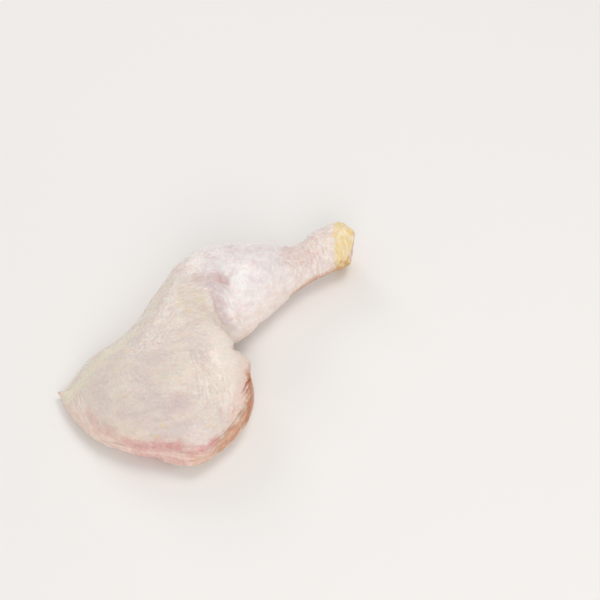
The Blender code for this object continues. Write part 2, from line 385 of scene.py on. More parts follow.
def into_loop(places, loop):
    """How far inside a closed loop the places lie, seen from above; negative outside it."""
    inside = np.zeros(len(places), bool)
    distance = np.full(len(places), np.inf)
    x, y = places[:, 0], places[:, 1]
    for (x0, y0), (x1, y1) in zip(loop, loop[1:] + loop[:1]):
        crosses = (y0 > y) != (y1 > y)
        inside ^= crosses & (x < (x1 - x0) * (y - y0) / ((y1 - y0) or 1e-9) + x0)
        part = (((x - x0) * (x1 - x0) + (y - y0) * (y1 - y0)) / ((x1 - x0) ** 2 + (y1 - y0) ** 2)).clip(0, 1)
        distance = np.minimum(distance, np.hypot(x - x0 - part * (x1 - x0), y - y0 - part * (y1 - y0)))
    return np.where(inside, distance, -distance)


def into_meat(places):
    """How far inside the uneven cut edge of the skin the places lie, seen from above."""
    return into_loop(places, SKIN_EDGE) + 1.8 * lumps(places, 6, 51) + 0.6 * lumps(places, 2.2, 52)


def meat_cover(inward, outward):
    """1 on the bare meat beneath the thigh, 0 on skin."""
    return fade(outward[:, 2], -0.2, -0.6) * fade(inward, -0.3, 0.5)


def near_seams(places, outward, width):
    """1 on the seams between the muscles, less beside them."""
    wavering = waver(places, *SEAM_WAVER)
    distance = np.min([lie_along(wavering, outward, seam)[0] for seam in MEAT_SEAMS], axis=0)
    return hump(distance, width)


def press_meat(relief, places, outward):
    """The step at the skin's cut edge, the meat's fibres, and the muscles that swell between their seams."""
    inward = into_meat(places)
    meat = meat_cover(inward, outward)
    fibres = fine_lines(places[:, 1] - FIBRE_SLANT * places[:, 0], places[:, 0], 2.0, 16, 81)
    relief -= meat * (SKIN_EDGE_STEP * hump(inward, 3.5) + FIBRE_DEPTH * (1 - fibres))
    relief -= meat * (SEAM_DEPTH * near_seams(places, outward, 1.8) - MEAT_LUMP * lumps(places, 14, 82))


@dataclass(frozen=True)
class Push:
    """A part of the soft flesh that bulges or sags by a shift, most of all along its path."""

    path: tuple
    reach: float
    shift: tuple
    top: float = 60.0  # nothing higher moves


PUSHES = (
    Push(((-9, -21.5, 36), (-3, -13, 23), (0, -8, 13)), 2.6, (-3.6, 2.6, 0)),
    Push(((-11, -32, 36), (-6, -25, 24), (-4, -22, 14)), 4.5, (1.9, -1.3, 0)),
    Push(((3, -0.5, 16), (13, 0, 18)), 5, (0.6, -1.8, 0)),
    Push(((-93, -27, 0), (-88, -34, 0), (-83, -40, 0)), 6, (0, 0, 5.5), top=12),
    Push(((-101.8, 30, 6), (-101.6, 29.6, 6)), 1.5, (-1.0, 0.9, 0.3)),
    Push(((-98, 28, 4), (-97.5, 28, 10)), 2.2, (0.9, -2.5, 0)),
    Push(((104.5, 13, 8), (101, 12, 17)), 5.4, (-5.0, 1.8, 0)),
    Push(((101, 22, 28), (103, 24, 26)), 3.5, (2.4, -0.7, 0.4)),
    Push(((-72, -53, 2), (-66, -58, 2)), 5, (-0.8, -1.0, 0)),
    Push(((-80, -43.5, 2), (-79, -44.5, 8)), 3, (0.9, 1.1, 0)),
)


def push_flesh(places, outward):
    for push in PUSHES:
        distance = lie_along(places, outward, push.path)[0]
        share = hump(distance, push.reach) * fade(places[:, 2], push.top, push.top - 3)
        places += share[:, None] * np.array(push.shift)


def lay_flat(mesh, places):
    """Puts the places into a mesh, none of them below what the leg lies on."""
    places[:, 2] = places[:, 2].clip(0)
    put_places(mesh, places)


def give_relief(mesh):
    """Presses the lumps, folds, wrinkles and the cut edge of the skin into the smooth leg."""
    places, outward = places_of(mesh), outward_of(mesh)
    relief = flesh_lumps(places, outward)
    press_folds(relief, places, outward)
    press_wrinkles(relief, places, outward)
    press_pucker(relief, places)
    press_rings(relief, places, outward)
    raise_cap(relief, places)
    hold_bone(relief, places, outward)
    press_meat(relief, places, outward)
    places += outward * relief[:, None]
    push_flesh(places, outward)
    lay_flat(mesh, places)


leg_skin = copy_of_node("leg", "skin_and_meat")
make_even(leg_skin, FORM_SPACING, EVEN_OUT_ROUNDS)
give_relief(leg_skin.data)

# Follicles. Each quill that was plucked leaves a low bump a little over 2 mm across in the skin, a few
# millimetres from the next. They are missing from the meat and the yellow skin, and here and there from the
# rest.

FOLLICLE_SPACING = 2.4
FOLLICLE_HEIGHT = 0.2
FOLLICLE_REACH = 1.2
MOST_TRIANGLES = 190000


class Wire:
    """An output socket in a tree of nodes. Sums and products of wires and numbers add Math nodes."""

    def __init__(self, tree, socket=None):
        self.tree = tree
        self.socket = socket

    def add(self, kind, settings=None, sockets=None, output=0):
        """A new node's output. Its settings are set first, then its sockets get their values or links."""
        node = self.tree.nodes.new(kind)
        for name, setting in (settings or {}).items():
            setattr(node, name, setting)
        self.feed(node, sockets or {})
        return Wire(self.tree, node.outputs[output] if node.outputs else None)

    def feed(self, node, sockets):
        """Gives a node's inputs their values or links."""
        for name, value in sockets.items():
            if isinstance(value, Wire):
                self.tree.links.new(value.socket, node.inputs[name])
            else:
                node.inputs[name].default_value = value

    def math(self, operation, *values):
        return self.add("ShaderNodeMath", {"operation": operation}, dict(enumerate(values)))

    def __add__(self, other):
        return self.math("ADD", self, other)

    def __sub__(self, other):
        return self.math("SUBTRACT", self, other)

    def __rsub__(self, other):
        return self.math("SUBTRACT", other, self)

    def __mul__(self, other):
        return self.math("MULTIPLY", self, other)

    __radd__ = __add__

    def rise(self, none, full):
        """0 where the wire passes none, 1 from full on, with a smooth rise between."""
        ends = {"Value": self, "From Min": none, "From Max": full}
        return self.add("ShaderNodeMapRange", {"interpolation_type": "SMOOTHSTEP"}, ends)

    def scaled(self, factor):
        """A vector made longer by a factor."""
        return self.add("ShaderNodeVectorMath", {"operation": "SCALE"}, {0: self, "Scale": factor})


def put_attribute(mesh, name, values):
    attribute = mesh.attributes.get(name) or mesh.attributes.new(name, "FLOAT", "POINT")
    attribute.data.foreach_set("value", np.asarray(values, np.float32))


def start_tree(name, numbers):
    """A tree that takes and gives a mesh, and also takes the named numbers and a finish, all as wires."""
    tree = bpy.data.node_groups.new(name, "GeometryNodeTree")
    tree.interface.new_socket("Geometry", in_out="INPUT", socket_type="NodeSocketGeometry")
    tree.interface.new_socket("Geometry", in_out="OUTPUT", socket_type="NodeSocketGeometry")
    for number in numbers:
        tree.interface.new_socket(number, in_out="INPUT", socket_type="NodeSocketFloat")
    tree.interface.new_socket("Finish", in_out="INPUT", socket_type="NodeSocketMaterial")
    group = tree.nodes.new("NodeGroupInput")
    return Wire(tree), {socket.name: Wire(tree, socket) for socket in group.outputs}


def scatter(wire, given, name, spacing, seed):
    """The cover that the mesh keeps under a name, and points spread over the mesh, most where it is 1."""
    cover = wire.add("GeometryNodeInputNamedAttribute", {"data_type": "FLOAT"}, {"Name": name})
    sockets = {
        "Mesh": given["Geometry"],
        "Distance Min": given["Spacing"],
        "Density Max": 3 / (spacing * MM) ** 2,
        "Density Factor": cover,
        "Seed": seed,
    }
    return cover, wire.add("GeometryNodeDistributePointsOnFaces", {"distribute_method": "POISSON"}, sockets)


def end_tree(wire, given, geometry):
    """Gives the geometry its finish and sends it out."""
    plain = wire.add("GeometryNodeRealizeInstances", {}, {"Geometry": geometry})
    finished = wire.add("GeometryNodeSetMaterial", {}, {"Geometry": plain, "Material": given["Finish"]})
    wire.add("NodeGroupOutput", {}, {0: finished})
    return wire.tree


def follicle_tree():
    """Scatters points over the skin and raises a low bump at each."""
    wire, given = start_tree("follicles", ("Spacing", "Height", "Reach"))
    plucked, quills = scatter(wire, given, "plucked", FOLLICLE_SPACING, 7)
    sockets = {"Geometry": quills, "Sample Position": wire.add("GeometryNodeInputPosition")}
    away = wire.add("GeometryNodeProximity", {"target_element": "POINTS"}, sockets, "Distance")
    bump = 1 - away.rise(0, given["Reach"])
    lift = wire.add("GeometryNodeInputNormal").scaled(bump * given["Height"] * plucked)
    raised = wire.add("GeometryNodeSetPosition", {}, {"Geometry": given["Geometry"], "Offset": lift})
    kept = {"Geometry": raised, "Name": "follicle", "Value": bump}
    marked = wire.add("GeometryNodeStoreNamedAttribute", {"data_type": "FLOAT", "domain": "POINT"}, kept)
    return end_tree(wire, given, marked)


def run_tree(piece, tree, sizes, material):
    """Puts a tree on a piece with its named sizes and a finish, and turns the result into a plain mesh."""
    inputs = {name: size * MM for name, size in sizes.items()}
    inputs["Finish"] = material
    maker = piece.modifiers.new(tree.name, "NODES")
    maker.node_group = tree
    for item in tree.interface.items_tree:
        if item.in_out == "INPUT" and item.name in inputs:
            maker[item.identifier] = inputs[item.name]
    settle(piece)


def thin_out(piece, most):
    """Drops points where the surface is smooth, until the piece has no more than that many triangles."""
    piece.data.calc_loop_triangles()
    count = len(piece.data.loop_triangles)
    if count > most:
        fewer = piece.modifiers.new("fewer", "DECIMATE")
        fewer.ratio = most / count
        settle(piece)


def mark_plucked(mesh):
    """Stores where follicles may lie."""
    places, outward = places_of(mesh), outward_of(mesh)
    on_skin = 1 - fade(into_loop(places, SKIN_EDGE), -1, 1) * fade(outward[:, 2], -0.1, -0.4)
    off_cap = 1 - fade(beyond_cap_edge(places), -2, 0)
    put_attribute(mesh, "plucked", on_skin * off_cap * fade(lumps(places, 18, 61), -0.5, 0.2))


skin_and_meat = bpy.data.materials.new("raw chicken skin and meat")
mark_plucked(leg_skin.data)
follicle_sizes = {"Spacing": FOLLICLE_SPACING, "Height": FOLLICLE_HEIGHT, "Reach": FOLLICLE_REACH}
run_tree(leg_skin, follicle_tree(), follicle_sizes, skin_and_meat)
thin_out(leg_skin, MOST_TRIANGLES)
lay_flat(leg_skin.data, places_of(leg_skin.data))

# Colours of the skin. It is translucent, so the flesh under it shows: lilac over the muscle at the knee and
# where the skin is stretched, rose along the cut edge, warm and yellow where there is fat beneath.


@dataclass(frozen=True)
class Tint:
    """A soft patch of colour along a path, its strength from 0 to 1."""

    path: tuple
    reach: float
    strength: float


LILAC = (
    Tint(((3, 27, 40.5), (5, 20, 40.8)), 6.5, 0.45),
    Tint(((0.4, 25, 39.7), (0.6, 19.7, 38.5), (-1.4, 12.7, 35.5), (-2, 7.2, 31.2), (0, 2, 24)), 4.4, 0.7),
    Tint(((-73.5, -20.2, 34.4), (-68.4, -24.9, 35.8)), 6, 0.3),
    Tint(((-64.2, -34.9, 34.5), (-58.5, -36.5, 35.5)), 8, 0.5),
    Tint(((-50, 5, 42), (-62, -8, 40)), 14, 0.2),
    Tint(((-82, -20, 26), (-70, -38, 28), (-56, -50, 28)), 8, 0.35),
    Tint(((14, 36, 45), (30, 30, 43), (44, 27, 39)), 13, 0.2),
)
KNEE_BROWN = (
    Tint(((-0.6, 34.5, 39.8), (2.5, 31, 40.6), (6, 26, 41.6)), 5.6, 0.62),
    Tint(((6.2, 25.5, 41.8), (8, 20, 41.9)), 4.6, 0.72),
    Tint(((-60, -36.5, 35.5), (-56, -35, 36.5)), 6, 0.3),
)
MARGIN_PINK = (
    Tint(((-103, 12, 8), (-102, -3, 10), (-97, -17, 12), (-89, -31, 13)), 7, 0.5),
    Tint(((-89, -31, 13), (-80, -42, 13), (-69, -54, 13), (-60, -60, 13), (-50, -61, 13)), 6.5, 0.85),
    Tint(((-11.5, -32.5, 29.5), (-18.5, -41, 30.5), (-25, -47.5, 29.5), (-33, -53, 26.5)), 6, 0.5),
)
ROSE = (
    Tint(((-89, -29.5, 16.5), (-82, -38, 17.5), (-76, -44.5, 18)), 3.2, 0.7),
    Tint(((-86, -34.5, 15.5), (-80.4, -40.5, 17)), 4.2, 0.75),
    Tint(((-79, -42, 17.6), (-74.2, -46.6, 19), (-68.5, -52, 20)), 5.2, 1.0),
    Tint(((-68, -52.5, 19.6), (-61, -57.8, 19.4)), 4.2, 0.6),
    Tint(((-58, -59.6, 19.4), (-54, -60, 20), (-49, -59.8, 21)), 3.4, 0.95),
    Tint(((-86, -37, 8), (-78, -45, 9), (-69, -55, 10)), 5, 0.6),
    Tint(((-97.5, -2, 17.6), (-96.5, -9, 17), (-92, -20, 17)), 4, 0.45),
    Tint(((6.2, 25.4, 41.7), (6.9, 23.6, 41.9)), 1.9, 0.32),
    Tint(((8.5, 19.4, 42), (9, 18, 41.9)), 1.8, 0.3),
    # Beneath the lifted margin: partly the red flesh under the skin's edge, partly painted shade of the gap
    # there.
    Tint(((-90, -27, 1), (-84, -35, 1), (-79, -40, 1)), 7, 1.0),
)
# Tan: partly the skin's own tan, and partly painted shade on the fold's side at the thigh's inner edge, along
# the thigh's low rim and under the shank.
TAN_AND_SHADE = (
    Tint(((-13, -42, 17), (-22, -51.5, 17), (-34, -58, 16.5), (-46, -61, 15)), 7, 1.0),
    Tint(((-10, -30, 26), (-12, -34, 26), (-15, -42, 24)), 4.5, 0.8),
    Tint(((-18.5, -45.5, 25.5), (-23.5, -50.8, 23.5), (-28.5, -54, 22.5)), 3.4, 0.75),
    Tint(((62, 24, 33), (72, 24, 31), (86, 24, 30)), 15, 0.3),
    Tint(((-50, -62, 13), (-62, -61, 12)), 6, 0.45),
    Tint(((-6, -14, 14), (-8, -26, 16)), 10, 0.2),
    Tint(((50, 11, 12), (57, 13, 12), (65, 14.2, 11), (74, 15, 10), (83, 14.3, 12)), 5, 0.9),
    Tint(((-102.2, 30.4, 6), (-102, 30, 6)), 1.8, 0.4),
)
# Painted shade, dark orange-brown: on the shaded side of the fold at the thigh's inner edge, under the shank,
# and beneath the lifted margin.
FOLD_SIDE = ((-12.5, -37, 25), (-14.8, -41, 24.5), (-17.2, -45.2, 21.5), (-19.8, -49, 18), (-24, -53, 14))
UMBER_SHADE = (
    Tint(FOLD_SIDE, 4.2, 1.0),
    Tint(((69, 14.5, 9), (76, 15, 9.5), (83, 14.2, 11)), 2.2, 0.7),
    Tint(((-84, -35, 3), (-79, -41, 3), (-73, -47, 3)), 4, 0.8),
)
# Painted light: paler patches where light falls brightest, on the thigh's inner side towards the lobe and on
# the left flap.
LIT_PATCHES = (
    Tint(((-12, -6, 39), (-20, -22, 40.5), (-23, -35, 37)), 10, 0.7),
    Tint(((-27, -40, 35), (-33, -47, 32)), 6, 0.6),
    Tint(((-99, 6, 14), (-97, -8, 15)), 8, 0.5),
)
HIP_SIDE = (
    (-98.6, 21, 10.7), (-91.6, 20.8, 15.3), (-79.1, 24.2, 21.5), (-67.7, 26.3, 25.2), (-53.9, 26.3, 29.5),
)  # fmt: skip
BUTTER = (
    Tint(HIP_SIDE, 8, 0.75),
    Tint(((-36, 33, 33.7), (-22.3, 39, 37)), 8, 0.35),
    Tint(((-24, 34, 36), (-12, 24, 40), (-10, 8, 40)), 9, 0.3),
)
TINTS = (
    ("lilac", LILAC, 101),
    ("rose", ROSE, 103),
    ("margin", MARGIN_PINK, 113),
    ("brown", KNEE_BROWN, 115),
    ("butter", BUTTER, 117),
    ("tan", TAN_AND_SHADE, 105),
    ("umber", UMBER_SHADE, 125),
    ("pale", LIT_PATCHES, 127),
)  # the name that the mesh keeps a colour's cover under, its patches, and the seed of their borders


def tint_cover(places, outward, tints, seed):
    """Where a colour lies, its border broken up."""
    uneven = 0.4 * lumps(places, 7, seed) + 0.3 * lumps(places, 2.5, seed + 1)
    cover = np.zeros(len(places))
    for tint in tints:
        distance = lie_along(places, outward, tint.path)[0]
        cover = np.maximum(cover, tint.strength * fade(1.3 + uneven - distance / tint.reach, 0, 1.1))
    return cover


FAT_SPOTS = (
    (-20.9, 13.2, 43), (-8.5, 18.6, 38.7), (-23.4, 21.7, 41.7), (-80.5, -11.8, 31.4),
    (-75.8, -41.3, 23.6), (-70.8, -40, 28.6), (-49.7, -53, 29), (-40.1, -59, 20),
    (-62.7, 13.6, 33.8), (-88, 4, 24), (-28, -48.5, 33),
)  # fmt: skip
FAT_SPOT_REACH = 1.9


def mark_fat(mesh, places):
    """Small yellow spots of fat."""
    fat = np.zeros(len(places))
    for spot in FAT_SPOTS:
        away = np.linalg.norm(places - spot, axis=1) / FAT_SPOT_REACH + 0.5 * lumps(places, 1.6, 107)
        fat = np.maximum(fat, fade(away, 1, 0.2))
    put_attribute(mesh, "fat", fat)


KNEE_SOFT = 12  # how much wider the border between calf and thigh is on the outer side
OCHRE_MOST = 0.85


def mark_regions(mesh, places, outward):
    """The calf, the yellow skin of the foot with its darker underside, and the sides of the whole leg."""
    x, y, facing_up = places[:, 0], places[:, 1], outward[:, 2]
    gentle = KNEE_SOFT * fade(y, 26, 42)
    past_knee = fade(x + (2.5 + 0.4 * gentle) * lumps(places, 6, 109), -6 - gentle, 2 + gentle)
    put_attribute(mesh, "calf", past_knee * fade(y, -8, 4))
    past_edge = beyond_cap_edge(places)
    put_attribute(mesh, "cap", fade(past_edge, -1.5, 3))
    put_attribute(mesh, "near_cap", fade(past_edge, -9, -1))
    put_attribute(mesh, "side", fade(0.8 - facing_up + 0.15 * lumps(places, 9, 121), 0, 0.8))
    low = fade(facing_up, 0.6, -0.2) + 0.5 * lumps(places, 3, 119)
    ochre = fade(low + fade(x, 96, 104) * 0.5, 0.3, 1.0) * fade(y, 32, 20) * OCHRE_MOST
    put_attribute(mesh, "ochre", ochre)


STUMP_HALVES = (11.5, 9.8)  # half the width and height of the bare flesh round the sawn bone
STUMP_X = (94, 97)  # x at which the bare flesh begins, and is whole


def mark_stump(mesh, places, outward):
    """The bare flesh and gristle round the sawn bone, and on the walls of the hole that it lies in."""
    aside, above = from_bone_axis(places)
    from_bone = np.hypot(aside / STUMP_HALVES[0], above / STUMP_HALVES[1]) + 0.1 * lumps(places, 2.5, 123)
    walls = fade(facing_bone(places, outward), 0, 0.4) * fade(from_bone, 1.3, 1.1)
    stump = np.maximum(fade(from_bone, 1.05, 0.85), walls)
    put_attribute(mesh, "stump", stump * fade(places[:, 0], *STUMP_X))


def mark_meat(mesh, places, outward):
    """The meat beneath, and the pale fat in its seams and along its rim."""
    inward = into_meat(places)
    put_attribute(mesh, "meat", meat_cover(inward, outward))
    put_attribute(mesh, "seam", np.maximum(0.8 * near_seams(places, outward, 1.1), fade(inward, 3.5, 0.5)))


def mark_creases(mesh, places, outward):
    """Where shade is painted into the folds, darker and redder."""
    crease, wavering = np.zeros(len(places)), waver(places, *FOLD_WAVER)
    for fold in FOLDS:
        distance, _, along, length = lie_along(wavering, outward, fold.path)
        dark = between_ends(along, length) * fold.fold_shade * hump(distance, FOLD_SPREAD * fold.width)
        crease = np.maximum(crease, dark)
    put_attribute(mesh, "crease", crease)


WRINKLE_STRETCH = 9  # how much longer than wide the finest wrinkles are
SCALE_STRETCH = 5
PATCH_LAYER = 10.0  # from the layer of noise of one patch to the next
CAP_LAYER = 200.0


def lie_of_lines(across, along, layer):
    return np.stack([across, along, np.full(len(across), layer)], axis=1)


def mark_lines(mesh, places, outward):
    """How the finest wrinkles run: where each point lies across and along its patch, and their strength."""
    lie, cover, runner_up = np.zeros((len(places), 3)), np.zeros(len(places)), np.zeros(len(places))
    for number, patch in enumerate(WRINKLES):
        distance, across, along, _ = lie_along(places, outward, patch.path)
        here = fade(distance, 1.2 * patch.reach, 0.3 * patch.reach) * (0.4 + 1.4 * patch.depth)
        stronger = here > cover
        mine = lie_of_lines(across, along / WRINKLE_STRETCH, PATCH_LAYER * number)
        lie = np.where(stronger[:, None], mine, lie)
        runner_up = np.where(stronger, cover, np.maximum(runner_up, here))
        cover = np.where(stronger, here, cover)
    cover *= fade(cover - runner_up, 0, 0.15)
    past_edge = beyond_cap_edge(places)
    on_cap = past_edge > -0.5
    lie[on_cap] = lie_of_lines(places[:, 0], round_shank(places) / SCALE_STRETCH, CAP_LAYER)[on_cap]
    cover = np.where(on_cap, 1, cover) * fade(np.abs(past_edge + 0.5), 0, 2.5)
    lie[:, 0] += 0.9 * lumps(places, 6, 45)
    attribute = mesh.attributes.new("lie", "FLOAT_VECTOR", "POINT")
    attribute.data.foreach_set("vector", lie.astype(np.float32).ravel())
    put_attribute(mesh, "lined", cover)


def colour_the_skin(mesh):
    """Stores where each colour lies, for the finish."""
    places, outward = places_of(mesh), outward_of(mesh)
    for name, tints, seed in TINTS:
        put_attribute(mesh, name, tint_cover(places, outward, tints, seed))
    mark_fat(mesh, places)
    mark_regions(mesh, places, outward)
    mark_stump(mesh, places, outward)
    mark_meat(mesh, places, outward)
    mark_creases(mesh, places, outward)
    mark_lines(mesh, places, outward)


colour_the_skin(leg_skin.data)

# Finish of the skin and the meat. Thin wet skin over pale flesh and fat, with a net of fine lines between
# soft cells, small yellow grains of fat, and a dull film of water. The meat beneath is red with pale fibres.


def tone(red, green, blue):
    """A colour given as it looks on a screen, from 0 to 255."""
    levels = [value / 255 for value in (red, green, blue)]
    return (*[v / 12.92 if v <= 0.04045 else ((v + 0.055) / 1.055) ** 2.4 for v in levels], 1)


THIGH_CREAM = tone(229, 215, 200)
THIGH_GREY = tone(218, 203, 195)
SIDE_PEACH = tone(236, 202, 176)
FLECK = tone(150, 104, 84)
CALF_BLUSH = tone(243, 236, 234)
CALF_LILAC = tone(231, 219, 220)
# partly the skin's whiter cells, partly painted highlight on the tops of the follicles and fine wrinkles
WHITE_CELLS_AND_GLINT = tone(250, 247, 245)
LILAC_FLESH = tone(208, 188, 190)
KNEE_FLESH = tone(208, 180, 171)
MARGIN_FLESH = tone(238, 200, 184)
ROSE_FLESH = tone(207, 122, 120)
# partly the skin's own tan and partly painted shade; its lines are painted shade between the wrinkles
TAN_SKIN_AND_SHADE = tone(213, 152, 106)
TAN_LINE_SHADE = tone(166, 104, 74)
# painted shade, dark orange-brown
PAINTED_UMBER_SHADE = tone(184, 102, 50)
# painted light, paler than the skin
THIGH_LIT = tone(244, 231, 219)
BUTTER_SKIN = tone(234, 224, 198)
FAT = tone(240, 216, 160)
CAP_YELLOW = tone(240, 212, 150)
CAP_PALE = tone(250, 242, 222)
CAP_OCHRE = tone(206, 158, 92)
PORE = tone(205, 172, 158)
# painted shade between the fine wrinkles
LINE_SHADE = tone(206, 176, 164)
# painted shade in the folds
FOLD_SHADE = tone(168, 76, 48)
MEAT_RED = tone(202, 116, 108)
MEAT_PALE = tone(226, 164, 152)
MEAT_FAT = tone(238, 216, 192)
STUMP_FLESH = tone(212, 150, 142)
STUMP_GRISTLE = tone(238, 220, 214)


def blend(wire, share, one, other):
    """A colour between one and the other."""
    sockets = {0: share, 6: one, 7: other}
    return wire.add("ShaderNodeMix", {"data_type": "RGBA", "clamp_factor": True}, sockets, 2)


def begin_finish(material):
    """A material's shader, a wire of its tree, and the object's own places in millimetres."""
    material.use_nodes = True
    tree = material.node_tree
    wire = Wire(tree)
    place = wire.add("ShaderNodeTexCoord", {}, {}, "Object").scaled(1 / MM)
    return tree.nodes["Principled BSDF"], wire, place


def bumps(wire, height):
    """Normals for a relief whose height is in millimetres."""
    return wire.add("ShaderNodeBump", {}, {"Strength": 1.0, "Distance": MM, "Height": height})


def cloud(wire, place, size, detail=2.0, roughness=0.5, output=0):
    """Noise from 0 to 1 whose lumps are that many millimetres across. Output 1 gives it in x, y and z."""
    sockets = {"Vector": place, "Scale": 1 / size, "Detail": detail, "Roughness": roughness}
    return wire.add("ShaderNodeTexNoise", {}, sockets, output)


def cells(wire, place, size, feature="F1", randomness=1.0):
    """The distance from the middle of the nearest of many cells that are that many millimetres across."""
    sockets = {"Vector": place, "Scale": 1 / size, "Randomness": randomness}
    return wire.add("ShaderNodeTexVoronoi", {"feature": feature}, sockets)


def stretch(wire, place, factors):
    """Places multiplied by a factor each in x, y and z."""
    return wire.add("ShaderNodeVectorMath", {"operation": "MULTIPLY"}, {0: place, 1: factors})


def mask(wire, name, output="Fac"):
    """What the mesh keeps under a name, as a number, or as a vector."""
    return wire.add("ShaderNodeAttribute", {"attribute_name": name}, {}, output)


def ridge(wire, place, width):
    """Thin lines of value 1 that meet and part, on ground of value 0."""
    noisy = cloud(wire, place, width, 1.5)
    return 1 - wire.math("ABSOLUTE", noisy - 0.5).rise(0.0, 0.13)


DRIFT_SIZE = 1 / 0.35  # 0.35 lumps to a millimetre
DRIFT_REACH = 2.2
GOOSE_CELL = 2.3
PORE_SPACING = 3.1
FLECK_SPACING = 5.5
STREAK_TURN = math.radians(34)  # outside the patches of wrinkles, streaks run so far off the leg's length
STREAK_SHARE = 0.55  # how strong these streaks are, compared with the wrinkles


def grain_of_skin(wire, place, on):
    """The patterns in the skin and the meat, each a wire from 0 to 1."""
    drift = cloud(wire, place, DRIFT_SIZE, 1.0, output=1).scaled(DRIFT_REACH)
    drifted = wire.add("ShaderNodeVectorMath", {"operation": "ADD"}, {0: place, 1: drift})
    turn = {"Vector": drifted, "Angle": STREAK_TURN}
    turned = wire.add("ShaderNodeVectorRotate", {"rotation_type": "Z_AXIS"}, turn)
    turned = stretch(wire, turned, (0.16, 1, 1))
    patchy = cloud(wire, place, 5, 3)
    wrinkle, streak = ridge(wire, mask(wire, "lie", "Vector"), 1.5), ridge(wire, turned, 1.9)
    flecks = 1 - cells(wire, drifted, FLECK_SPACING).rise(0.03, 0.09)
    return SimpleNamespace(
        broad=cloud(wire, place, 16),
        patchy=patchy,
        fine=cloud(wire, place, 1.3, 3, 0.6),
        film=cloud(wire, place, 5, 4, 0.6),
        mottle=cloud(wire, stretch(wire, turned, (2, 1, 1)), 4, 3, 0.6),
        fibre=cloud(wire, stretch(wire, drifted, (0.06, 0.6, 0.6)), 1, 3, 0.6),
        goose=1 - cells(wire, drifted, GOOSE_CELL, "SMOOTH_F1").rise(0.1, 0.62),
        pore=1 - cells(wire, drifted, PORE_SPACING, randomness=0.9).rise(0.06, 0.24),
        fleck=flecks * patchy.rise(0.45, 0.6),
        line=wrinkle * on.lined + streak * (1 - on.lined) * STREAK_SHARE,
    )


def colour_of_skin(wire, on, grain, skin):
    """Pale skin, its tints from the palest to the strongest, and then what lies in it."""
    patchy, line = grain.patchy, grain.line
    thigh = blend(wire, (grain.broad * 0.45 + grain.mottle * 0.6).rise(0.38, 0.68), THIGH_CREAM, THIGH_GREY)
    shank = blend(wire, (grain.broad * 0.4 + patchy * 0.7).rise(0.42, 0.7), CALF_BLUSH, CALF_LILAC)
    plain = skin * (1 - on.brown * 0.85) * (1 - on.lilac * 0.7) * (1 - on.umber * 0.8) * (1 - on.tan * 0.4)
    colour = blend(wire, on.calf, thigh, shank)
    for share, tint in (
        # painted light where the thigh and the flap are lit brightest
        (on.pale, THIGH_LIT),
        (on.butter, BUTTER_SKIN),
        (on.brown, KNEE_FLESH),
        (on.lilac, LILAC_FLESH),
        (on.side * skin * (patchy * 0.5 + 0.15), SIDE_PEACH),
        (on.margin, MARGIN_FLESH),
        # tan, partly painted shade, with darker painted shade between its fine lines
        (on.tan, TAN_SKIN_AND_SHADE),
        ((0.75 - line).rise(0.0, 0.7) * on.tan * 0.5, TAN_LINE_SHADE),
        # painted shade on the fold's side, under the shank and beneath the margin
        (on.umber * (patchy * 1.1 + 0.35 - line * 0.25), PAINTED_UMBER_SHADE),
        (on.rose * ((patchy * 0.6 + line * 0.7).rise(0.15, 0.9) * 0.6 + 0.4), ROSE_FLESH),
        # whiter cells of the skin, partly painted highlight on their raised tops
        (grain.goose * plain * (0.12 + on.calf * 0.34), WHITE_CELLS_AND_GLINT),
        # painted highlight on the follicles' tops
        (on.follicle * plain * 0.2, WHITE_CELLS_AND_GLINT),
        (grain.pore * skin * 0.12, PORE),
        (grain.fleck * skin * 0.45, FLECK),
        # painted shade in the valleys between the raised fine wrinkles
        ((0.7 - line).rise(0.0, 0.7) * on.lined * skin * 0.35, LINE_SHADE),
        # painted highlight on the tops of the fine wrinkles
        (line * plain * 0.26, WHITE_CELLS_AND_GLINT),
        (on.fat * skin * 0.55, FAT),
        (on.near_cap * 0.3, CAP_PALE),
    ):
        colour = blend(wire, share, colour, tint)
    return colour


def colour_of_cap(wire, on, grain):
    """Yellow scaly skin with pale lines, ochre beneath."""
    cloudy = (grain.patchy * 0.9 + grain.fine * 0.2).rise(0.45, 0.85) * 0.7
    colour = blend(wire, cloudy, CAP_YELLOW, CAP_PALE)
    colour = blend(wire, grain.line * 0.45, colour, CAP_PALE)
    return blend(wire, on.ochre, colour, CAP_OCHRE)


def colour_of_meat(wire, on, grain):
    """Red meat with pale fibres, and fat in its seams."""
    colour = blend(wire, (grain.fibre * 0.7 + grain.broad * 0.5).rise(0.42, 0.85), MEAT_RED, MEAT_PALE)
    return blend(wire, on.seam * (grain.patchy * 0.6 + 0.5), colour, MEAT_FAT)


def height_of_skin(on, grain, skin):
    """The finest relief, in millimetres."""
    goose = grain.goose * skin * (0.03 + on.calf * 0.07) + grain.fine * 0.12 - grain.pore * skin * 0.04
    lines = goose + grain.line * (1 - on.meat) * (1 - on.stump) * 0.19
    return lines + grain.fibre * on.meat * 0.35 + grain.fine * on.cap * 0.15 + grain.fine * on.stump * 0.5


SKIN_MASKS = [name for name, _, _ in TINTS]
SKIN_MASKS += ["fat", "calf", "cap", "near_cap", "side", "ochre", "stump", "meat", "seam", "crease"]
SKIN_MASKS += ["lined", "follicle"]


